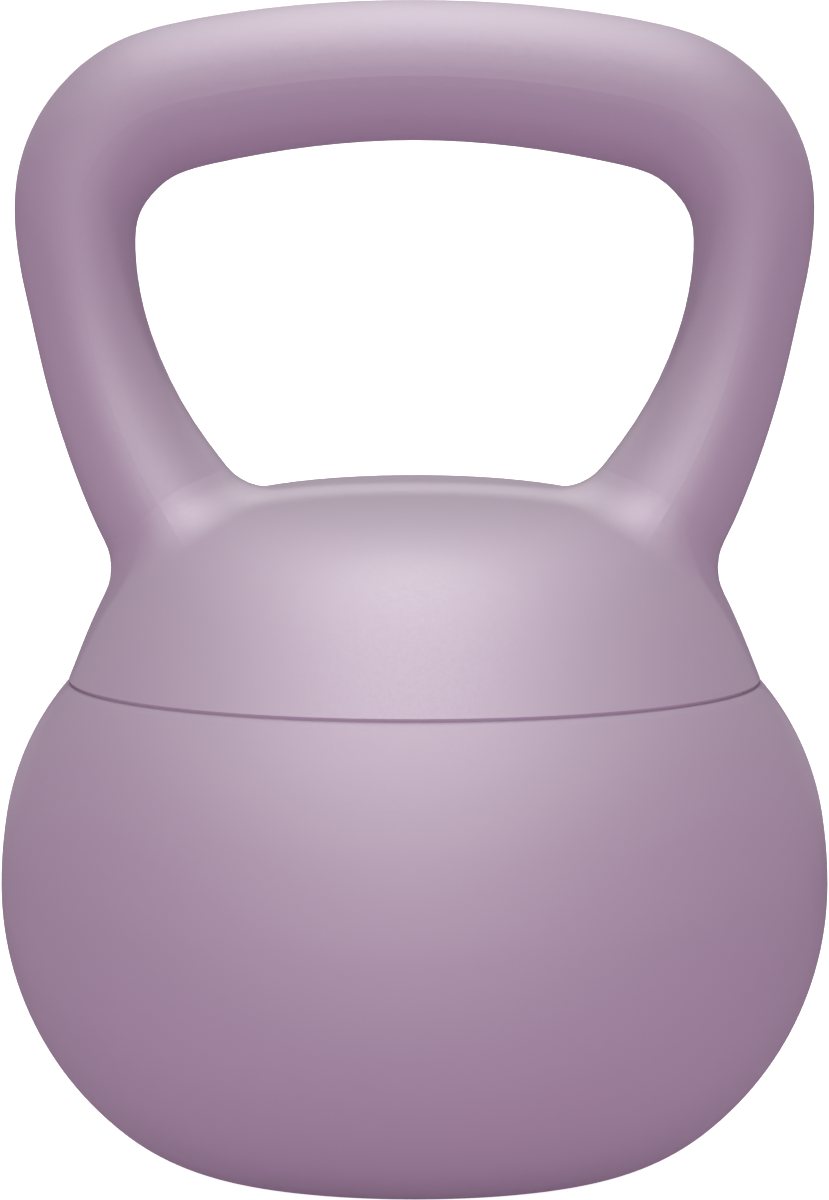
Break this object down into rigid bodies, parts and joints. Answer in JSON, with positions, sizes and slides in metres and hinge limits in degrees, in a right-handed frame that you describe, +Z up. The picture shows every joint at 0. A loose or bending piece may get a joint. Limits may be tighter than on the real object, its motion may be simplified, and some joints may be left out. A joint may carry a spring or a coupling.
{
  "type": "soft-base kettlebell",
  "caption": "Soft-base kettlebell: arched rigid grip and shoulder over a rounded, sand-filled soft ball with a flat base and a filler plug.",
  "frame": {"origin": "middle of the flat base, on the floor", "axes": "+Z up towards the grip, X along the grip bar, -Y the front"},
  "size_m": [0.18, 0.18, 0.2564],
  "materials": {
    "handle": "fine matte moulded",
    "ball_skin": "matte soft vinyl",
    "clamp_plate": "plain moulded",
    "screws": "zinc plated",
    "sand": "loose dry grain",
    "filler_bush": "plain moulded",
    "filler_plug": "plain moulded",
    "o_ring": "matte"
  },
  "bodies": {
    "kettlebell": {"handle": "handle", "ball_skin": "ball_skin", "clamp_plate": "clamp_plate", "clamp_screws": "screws", "sand_fill": "sand", "filler_bush": "filler_bush"},
    "plug": {"filler_plug": "filler_plug", "plug_o_ring": "o_ring"}
  },
  "joints": [
    {"name": "plug_pull", "type": "slide", "parent": "kettlebell", "child": "plug", "axis": [0, 0, -1], "range_m": [0, 0.018]}
  ]
}
